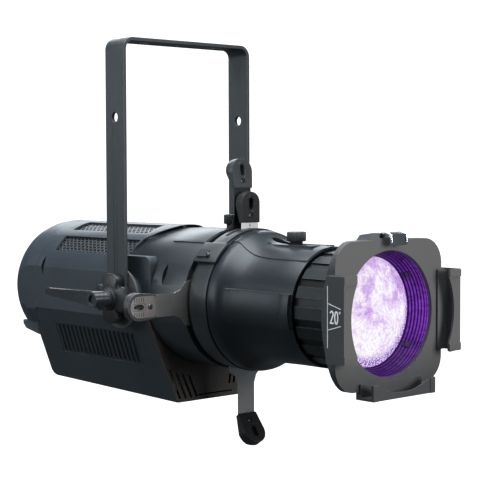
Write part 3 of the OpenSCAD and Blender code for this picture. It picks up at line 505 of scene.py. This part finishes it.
def make_stage():
    g = Graph("floor_pale")
    tone = g.ramp(g.noise(2.0, 2.0), [(0.3, (0.93, 0.93, 0.93)), (0.7, (0.96, 0.96, 0.96))])
    g.link(tone, g.bsdf.inputs["Base Color"])
    g.bsdf.inputs["Roughness"].default_value = 0.9
    g.bsdf.inputs["Emission Color"].default_value = (1, 1, 1, 1)
    g.bsdf.inputs["Emission Strength"].default_value = 1.2
    g.bump(g.noise(300.0, 2.0), 0.05, 0.0002)
    mesh = bpy.data.meshes.new("floor")
    low = W(0, 0, -1100).z
    size = 14.0
    mesh.from_pydata([(-size, -size, low), (size, -size, low), (size, size, low),
                      (-size, size, low)], [], [(0, 1, 2, 3)])
    floor = bpy.data.objects.new("floor", mesh)
    bpy.context.scene.collection.objects.link(floor)
    mesh.materials.append(g.mat)
    floor.visible_diffuse = False
    floor.visible_glossy = False
    world = bpy.data.worlds.new("studio")
    bpy.context.scene.world = world
    world.use_nodes = True
    tree = world.node_tree
    back = tree.nodes["Background"]
    back.inputs["Color"].default_value = (0.80, 0.91, 1, 1)
    back.inputs["Strength"].default_value = 0.12
    bright = tree.nodes.new("ShaderNodeBackground")
    bright.inputs["Color"].default_value = (1, 1, 1, 1)
    bright.inputs["Strength"].default_value = 1.3
    path = tree.nodes.new("ShaderNodeLightPath")
    mix = tree.nodes.new("ShaderNodeMixShader")
    tree.links.new(path.outputs["Is Camera Ray"], mix.inputs[0])
    tree.links.new(back.outputs[0], mix.inputs[1])
    tree.links.new(bright.outputs[0], mix.inputs[2])
    tree.links.new(mix.outputs[0], tree.nodes["World Output"].inputs["Surface"])
    bpy.context.scene.view_settings.view_transform = "Standard"
    make_light("key_top", (150, -250, 1500), (60, 0, 0), (1.8, 1.3), 74, (0.88, 0.95, 1.0))
    make_light("front", (2400, 150, 350), (200, 0, 0), (0.9, 0.9), 42)
    make_light("side", (-900, -1750, 450), (-100, 0, 0), (1.4, 0.8), 14, (0.86, 0.95, 1.0))
    make_light("back", (-1300, 900, 900), (0, 0, 0), (1.2, 0.8), 14, (0.88, 0.95, 1.0))


make_camera()
make_stage()

set_material(NODES["front_lens"], glow_lens("front_lens_lit"))

# ---------------------------------------------------------------- detailed pieces


def mesh_of(parts):
    """Joins (verts, faces) lists into one."""
    verts, faces = [], []
    for v, f in parts:
        base = len(verts)
        verts += v
        faces += [tuple(base + i for i in face) for face in f]
    return verts, faces


def ring_faces(rings, count, caps=True):
    """Quads between rings of count points each, and a face on each end."""
    faces = []
    for i in range(rings - 1):
        for k in range(count):
            m = (k + 1) % count
            faces.append((i * count + k, i * count + m, (i + 1) * count + m, (i + 1) * count + k))
    if caps:
        faces.append(tuple(range(count)))
        faces.append(tuple((rings - 1) * count + k for k in range(count)))
    return faces


def box_part(center, size, turn):
    """A chamfered bar in millimetres from the tilt axis, turned by a matrix."""
    cx, cy, cz = (d / 2 for d in size)
    cut = min(cx, cy, cz) * 0.35
    corners = []
    for sx in (-1, 1):
        for sy in (-1, 1):
            for sz in (-1, 1):
                corners.append(((sx * (cx - cut), sy * cy, sz * (cz - cut)),
                                (sx * cx, sy * (cy - cut), sz * (cz - cut)),
                                (sx * (cx - cut), sy * (cy - cut), sz * cz)))
    flat = [p for group in corners for p in group]
    bm = bmesh.new()
    for q in flat:
        v = turn @ Vector(q)
        bm.verts.new(W(center[0] + v.x, center[1] + v.y, center[2] + v.z))
    bmesh.ops.convex_hull(bm, input=bm.verts)
    bm.verts.ensure_lookup_table()
    bm.verts.index_update()
    verts = [v.co.copy() for v in bm.verts]
    faces = [tuple(v.index for v in f.verts) for f in bm.faces]
    bm.free()
    return verts, faces


def tube_part(path, radius, steps=10):
    """A round wire through points in millimetres from the tilt axis."""
    points = [Vector(q) for q in path]
    verts = []
    side = None
    for i, here in enumerate(points):
        ahead = (points[min(i + 1, len(points) - 1)] - points[max(i - 1, 0)]).normalized()
        if side is None:
            side = ahead.orthogonal().normalized()
        side = (side - ahead * side.dot(ahead)).normalized()
        other = ahead.cross(side)
        for k in range(steps):
            a = 2 * math.pi * k / steps
            q = here + (side * math.cos(a) + other * math.sin(a)) * radius
            verts.append(W(*q))
    return verts, ring_faces(len(points), steps)


def screw(name, place, normal, radius, body, height):
    """Pan-head screw with a hexagonal recess."""
    n = Vector(normal).normalized()
    side = n.orthogonal().normalized()
    other = n.cross(side)
    rows = [(radius * 0.42, height * 0.45, 6), (radius * 0.44, height * 0.97, 6),
            (radius * 0.62, height, 0), (radius * 0.86, height * 0.8, 0),
            (radius, height * 0.35, 0), (radius, -0.4, 0)]
    steps = 24
    verts = []
    for r, h, sides in rows:
        for k in range(steps):
            a = 2 * math.pi * k / steps
            rr = r
            if sides:
                part = (a % (2 * math.pi / sides)) - math.pi / sides
                rr = r * math.cos(math.pi / sides) / math.cos(part) * 1.1
            q = Vector(place) + n * h + (side * math.cos(a) + other * math.sin(a)) * rr
            verts.append(W(*q))
    return new_piece(name, verts, ring_faces(len(rows), steps), MAT["screw_dark"], body,
                     angle=40)


def on_barrel(x, angle, r):
    """Millimetre point at a radius and an angle from straight up, positive towards -Y."""
    a = math.radians(angle)
    return (x, -r * math.sin(a), r * math.cos(a))


def barrel_strip(x0, x1, r_out, r_in, a0, a1, steps):
    """A curved sheet on the barrel between two angles."""
    v = []
    for i in range(steps + 1):
        a = a0 + (a1 - a0) * i / steps
        for x, r in ((x0, r_out), (x1, r_out), (x1, r_in), (x0, r_in)):
            v.append(W(*on_barrel(x, a, r)))
    return v, ring_faces(steps + 1, 4)


def make_grille():
    """Perforated sheet behind the top windows, holes in brick rows."""
    pitch_x, pitch_a, r_out = 8.8, 3.05, GRILLE_R + 0.75
    hole_x, hole_a = 3.35, 1.12
    windows = ((10.2, 29.3), (37.7, 55.3))
    x_back, x_front = -180.6, -14
    verts, faces = [], []

    def ring(cx, ca, wide, tall, r, hole):
        points = []
        for k in range(12):
            t = 2 * math.pi * k / 12
            c, q = math.cos(t), math.sin(t)
            if hole:
                dx = wide * math.copysign(abs(c) ** 0.55, c)
                da = tall * math.copysign(abs(q) ** 0.75, q)
            else:
                m = max(abs(c), abs(q))
                dx, da = wide * c / m, tall * q / m
            points.append(W(*on_barrel(cx + dx, ca + da, r)))
        return points

    for side in (-1, 1):
        for low, high in windows:
            rows = int(round((high - low) / pitch_a))
            step = (high - low) / rows
            for row in range(rows):
                a = side * (low + (row + 0.5) * step)
                shift = 0.5 * pitch_x if row % 2 else 0.0
                columns = int(168 / pitch_x)
                for col in range(columns + 1):
                    cx = x_back + shift + (col + 0.5) * pitch_x
                    if cx > x_front:
                        continue
                    base = len(verts)
                    for r in (r_out, GRILLE_R):
                        verts.extend(ring(cx, a, pitch_x / 2, step / 2, r, False))
                        verts.extend(ring(cx, a, hole_x, hole_a, r, True))
                    for k in range(12):
                        m = (k + 1) % 12
                        faces.append((base + k, base + m, base + 12 + m, base + 12 + k))
                        faces.append((base + 12 + k, base + 12 + m, base + 36 + m, base + 36 + k))
                        faces.append((base + 24 + k, base + 36 + k, base + 36 + m, base + 24 + m))
    grille = new_piece("grille_mesh", verts, faces, MAT["grille_metal"], "head",
                       angle=50)
    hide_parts("top_grille")
    # near-black sheet just behind the holes: painted shade for the dark inside of the housing
    for side, name in ((-1, "far"), (1, "near")):
        v, f = barrel_strip(-186, -14, 84.9, 84.4, side * 9, side * 56, 20)
        new_piece("grille_painted_shade_" + name, v, f, MAT["painted_shade_black"], "head",
                  angle=50)
    # plain strips round the windows
    strips = [barrel_strip(-186, -24, 86.7, 86.0, side * a0, side * a1, 6)
              for side in (-1, 1) for a0, a1 in ((8.4, 10.6), (29.0, 38.0), (55.0, 57.0))]
    verts, faces = mesh_of(strips)
    new_piece("grille_border", verts, faces, MAT["grille_metal"], "head", angle=50)


def side_frame(side):
    """Turn of a leaning side of the lower box."""
    lean = side * math.atan2(SIDE_KNEE[0] - SIDE_FOOT[0], SIDE_KNEE[1] - SIDE_FOOT[1])
    return Matrix.Rotation(-lean, 3, "X")


def make_louvre_fins():
    """A curved fin behind each slit, throwing the air forward."""
    rows = 6
    for side, name in ((-1, "near"), (1, "far")):
        turn = side_frame(side)
        x0 = (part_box("louvre_" + name)[0].x - AXIS.x) / MM
        parts = []
        for i in range(18):
            cx = x0 + FIRST_SLIT + i * SLIT_PITCH
            v = []
            for j in range(rows + 1):
                t = j / rows
                depth = 0.1 + 5.2 * t
                dx = 1.9 - 4.6 * t * t
                for zz, thick in ((-61.2, -0.35), (-20.6, -0.35), (-20.6, 0.35), (-61.2, 0.35)):
                    q = turn @ Vector((0, side * -depth, zz))
                    v.append(W(cx + dx + thick, side * SIDE_KNEE[0] + q.y, SIDE_KNEE[1] + q.z))
            parts.append((v, ring_faces(rows + 1, 4)))
        verts, faces = mesh_of(parts)
        new_piece("louvre_fins_" + name, verts, faces, MAT["louvre_paint"], "head",
                  angle=50)


def fluted(count, depth):
    def shape(r, d, a):
        return r - depth * (0.5 + 0.5 * math.cos(count * a)) ** 3 if r > 7 else r
    return shape


def make_knobs():
    """Knurled lock and focus knobs, with a domed top."""
    for name, node, flutes in (("lock_knob_turned", "lock_knob", 26),
                               ("focus_knob_turned", "focus_knob", 30)):
        lo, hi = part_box(node)
        cx = ((lo.x + hi.x) / 2 - AXIS.x) / MM
        top = (hi.z - AXIS.z) / MM
        low = (lo.z - AXIS.z) / MM
        big = (hi.y - lo.y) / 2 / MM
        neck = 6.0 if node == "lock_knob" else 7.5
        head = 12.2 if node == "lock_knob" else top - FOCUS_HEAD_FOOT
        stem = 4.0 if node == "lock_knob" else 5.0
        r = big - 0.02
        profile = [(0.05, top), (r * 0.45, top - 0.1), (r * 0.5, top - 0.7), (r * 0.62, top - 0.8),
                   (r * 0.68, top), (r - 1.6, top - 0.05), (r - 0.5, top - 0.5), (r, top - 1.6),
                   (r, top - head + 1.4), (r - 0.8, top - head + 0.2), (neck + 0.4, top - head),
                   (neck, top - head - 0.6), (neck, low + 4), (stem, low + 4), (stem, low),
                   (0.05, low)]
        knob = lathe(name, profile, MAT["grip_plastic"], node, steps=flutes * 8,
                     origin=(cx, 0, 0), along="z", closed=False, shape=fluted(flutes, 0.7))
        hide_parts(node)


def make_tilt_knob():
    """Lobed hand nut on the yoke's outside, with wide rounded lobes and a raised hub."""
    lo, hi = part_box("tilt_knob")
    out = (lo.y - AXIS.y) / MM
    back = (hi.y - AXIS.y) / MM
    face = out + 1.8
    big = (hi.z - lo.z) / 2 / MM - 0.05
    lobes = 4

    def shape(r, d, a):
        if r < 17:
            return r
        t = abs(((a * lobes / (2 * math.pi)) + 0.5) % 1.0 - 0.5) * 2
        dip = smoothstep(0.66, 1.0, t) * 8.0 * (big / 31.5) + t * t * 1.6
        return r - dip * min(1.0, (r - 17) / (big - 20))

    profile = [(6.2, out), (14.0, out), (14.8, out + 0.5), (15.0, face + 0.2), (17.5, face + 0.2),
               (20.0, face + 0.4), (big - 3.2, face + 1.6), (big - 1.0, face + 2.2),
               (big - 0.3, face + 2.7), (big, face + 3.5), (big, back - 1.4),
               (big - 0.4, back - 0.5), (big - 1.4, back), (6.2, back)]
    knob = lathe("tilt_knob_moulded", profile, MAT[SLOT_OF["tilt_knob"]],
                 "tilt_knob", steps=240, along="y", shape=shape)
    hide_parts("tilt_knob")


# node, quarter turns round the beam, lean in degrees, length, x of the grip's plane,
# distance of its root from the beam axis, body
GRIPS = (("grip_top", 0, -7, 37, 120.6, 137, "shutter_top"),
         ("grip_far", 1, 0, 40, 117, 133, "shutter_far"),
         ("grip_bottom", 2, 34, 40, 126, 141.5, "shutter_bottom"),
         ("grip_near", 3, 0, 40, 114, 133, "shutter_near"),
         ("gobo_grip", 0, 0, 38, 134, 95, "gobo"))


def make_grip_details():
    """Fine finger ridges, a raised rim round the slot and a screw on each moulded grip."""
    for node, quarter, lean, length, plane, start, body in GRIPS:
        turn = Matrix.Rotation(math.radians(-90 * quarter), 3, "X")
        tilt = Matrix.Rotation(math.radians(lean), 3, "Y")
        base = turn @ Vector((plane, 0, start))
        whole = turn @ tilt
        parts = []

        def place(u, v, out):
            return base + whole @ Vector((out, u, v))

        front = 2.6
        for k in range(5):
            v = length - 21.5 + k * 3.2
            for s in (-1, 1):
                at = place(s * 8.6, v, front + 0.1)
                parts.append(box_part(tuple(at), (0.7, 5.4, 1.1), whole))
        rim = []
        for k in range(25):
            a = 2 * math.pi * k / 24
            dv = 7.6 if math.sin(a) > 0 else -7.6
            rim.append(tuple(place(4.3 * math.cos(a), length - 15 + dv * abs(math.sin(a)) ** 0.15
                                   + 4.2 * math.sin(a) * 0.6, front + 0.15)))
        parts.append(tube_part(rim, 0.45, 6))
        verts, faces = mesh_of(parts)
        new_piece(node + "_ridges", verts, faces, NODES[node].data.materials[0],
                  body, smooth=False)
        if node == "grip_near":
            outer, inner = [], []
            for k in range(48):
                a = 2 * math.pi * k / 48
                ca, sa = math.cos(a), math.sin(a)
                reach = min(12.6 / max(abs(ca), 1e-6), (length - 16) / max(-sa, 1e-6))
                if sa > 0:
                    reach = min(reach, 12.6)
                outer.append((reach * ca, length - 15.5 + reach * sa))
                q = 1 / math.hypot(ca / 3.4, sa / 7.6)
                inner.append((q * ca, length - 15 + q * sa))
            v = [W(*place(u, w, x)) for x in (front + 0.05, front + 0.4)
                 for loop in (outer, inner) for u, w in loop]
            f = []
            for k in range(48):
                m = (k + 1) % 48
                f += [(k, m, 48 + m, 48 + k), (96 + k, 144 + k, 144 + m, 96 + m),
                      (k, 96 + k, 96 + m, m), (48 + k, 48 + m, 144 + m, 144 + k)]
            new_piece("grip_near_plate", v, f, MAT["grip_plate"], body, smooth=False)
        at = place(0, 8.5, 0.6 if node != "grip_near" else 2.9)
        screw(node + "_screw", tuple(at), tuple(whole @ Vector((1, 0, 0))), 3.3,
              body, 1.5)


def strokes(name, lines, place, width):
    """Thin raised printed lines on the near block's outer face, through (x, z) points."""
    parts = []
    for line in lines:
        loop = line[0] == line[-1]
        v = []
        for i, (x, z) in enumerate(line):
            x0, z0 = line[i - 1] if i else (line[-2] if loop else line[0])
            x1, z1 = line[i + 1] if i + 1 < len(line) else (line[1] if loop else line[-1])
            run = math.hypot(x1 - x0, z1 - z0)
            nx, nz = -(z1 - z0) / run * width / 2, (x1 - x0) / run * width / 2
            v += [W(x + nx, place, z + nz), W(x - nx, place, z - nz),
                  W(x - nx, place - 0.1, z - nz), W(x + nx, place - 0.1, z + nz)]
        parts.append((v, ring_faces(len(line), 4, caps=not loop)))
    verts, faces = mesh_of(parts)
    return new_piece(name, verts, faces, MAT["white_print"],
                     "lens_carriage", smooth=False)


def arc(cx, cz, rx, rz, a0, a1, count=12):
    return [(cx + rx * math.cos(math.radians(a0 + (a1 - a0) * i / count)),
             cz + rz * math.sin(math.radians(a0 + (a1 - a0) * i / count)))
            for i in range(count + 1)]


def make_beam_mark():
    """Plain beam mark on the near channel: an index line, a widening pair and a generic number."""
    lo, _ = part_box("accessory_holder")
    face = (lo.y - AXIS.y) / MM - 0.02
    strokes("beam_mark_lines", [[(361, 36), (361, -30)], [(362, 17.4), (380.3, 12.4)],
                                [(362, -10.6), (380.3, -5.4)]], face + 0.04, 0.8)
    two = arc(367.2, 6.7, 2.1, 2.8, 165, -42) + [(365.4, -2.6)]
    foot = [(364.4, -2.9), (369.9, -2.9)]
    zero = arc(373.9, 3.1, 2.2, 6.4, 0, 360, 24)
    ring = arc(378.6, 8.6, 0.9, 1.1, 0, 360, 10)
    strokes("beam_mark_number", [two, foot, zero], face + 0.04, 1.7)
    strokes("beam_mark_degree", [ring], face + 0.04, 0.6)


def make_latch_wires():
    """Two bright spring wires bent over the hood's latch."""
    parts = []
    for s in (-1, 1):
        y = s * 12.2
        path = [(357.6, y, 87.6), (362, y, 89.4), (369, y, 89.6), (374.2, y, 88.8),
                (376.4, y, 86.6), (377.0, y, 82.5), (377.0, y, 78.0), (376.2, y, 76.4)]
        smooth = [path[0]]
        for q0, q1 in zip(path, path[1:]):
            for t in (0.34, 0.67, 1.0):
                smooth.append(tuple(a + (b - a) * t for a, b in zip(q0, q1)))
        parts.append(tube_part(smooth, 0.9))
    verts, faces = mesh_of(parts)
    new_piece("latch_wires", verts, faces, MAT["latch_metal"], "latch", angle=60)


def make_baffle_clips():
    """Two small clips that hold the front lens, on the far side of the stepped wall."""
    for i, angle in enumerate((-52, -128)):
        parts = []
        a = math.radians(angle)
        turn = Matrix.Rotation(a, 3, "X")
        for dx, dr, size in ((342, 64.6, (7, 7, 1.4)), (338.4, 63.8, (1.8, 7, 3.2)),
                             (345.6, 66.0, (1.6, 8, 2.4))):
            x, y, z = on_barrel(dx, angle, dr)
            parts.append(box_part((x, y, z), size, turn))
        verts, faces = mesh_of(parts)
        # the violet colour is painted light
        new_piece("lens_clip_%d" % (i + 1), verts, faces, MAT["clip_painted_violet_light"],
                  "lens_carriage", smooth=False)


def make_screws():
    for s, side in ((-1, "near"), (1, "far")):
        place = on_barrel(136, -s * 50, 91.6)
        normal = on_barrel(0, -s * 50, 1)
        screw("cover_screw_" + side, place, normal, 3.0, "gate", 1.4)


make_grille()
make_louvre_fins()
make_knobs()
make_tilt_knob()
make_grip_details()
make_beam_mark()
make_latch_wires()
make_baffle_clips()
make_screws()
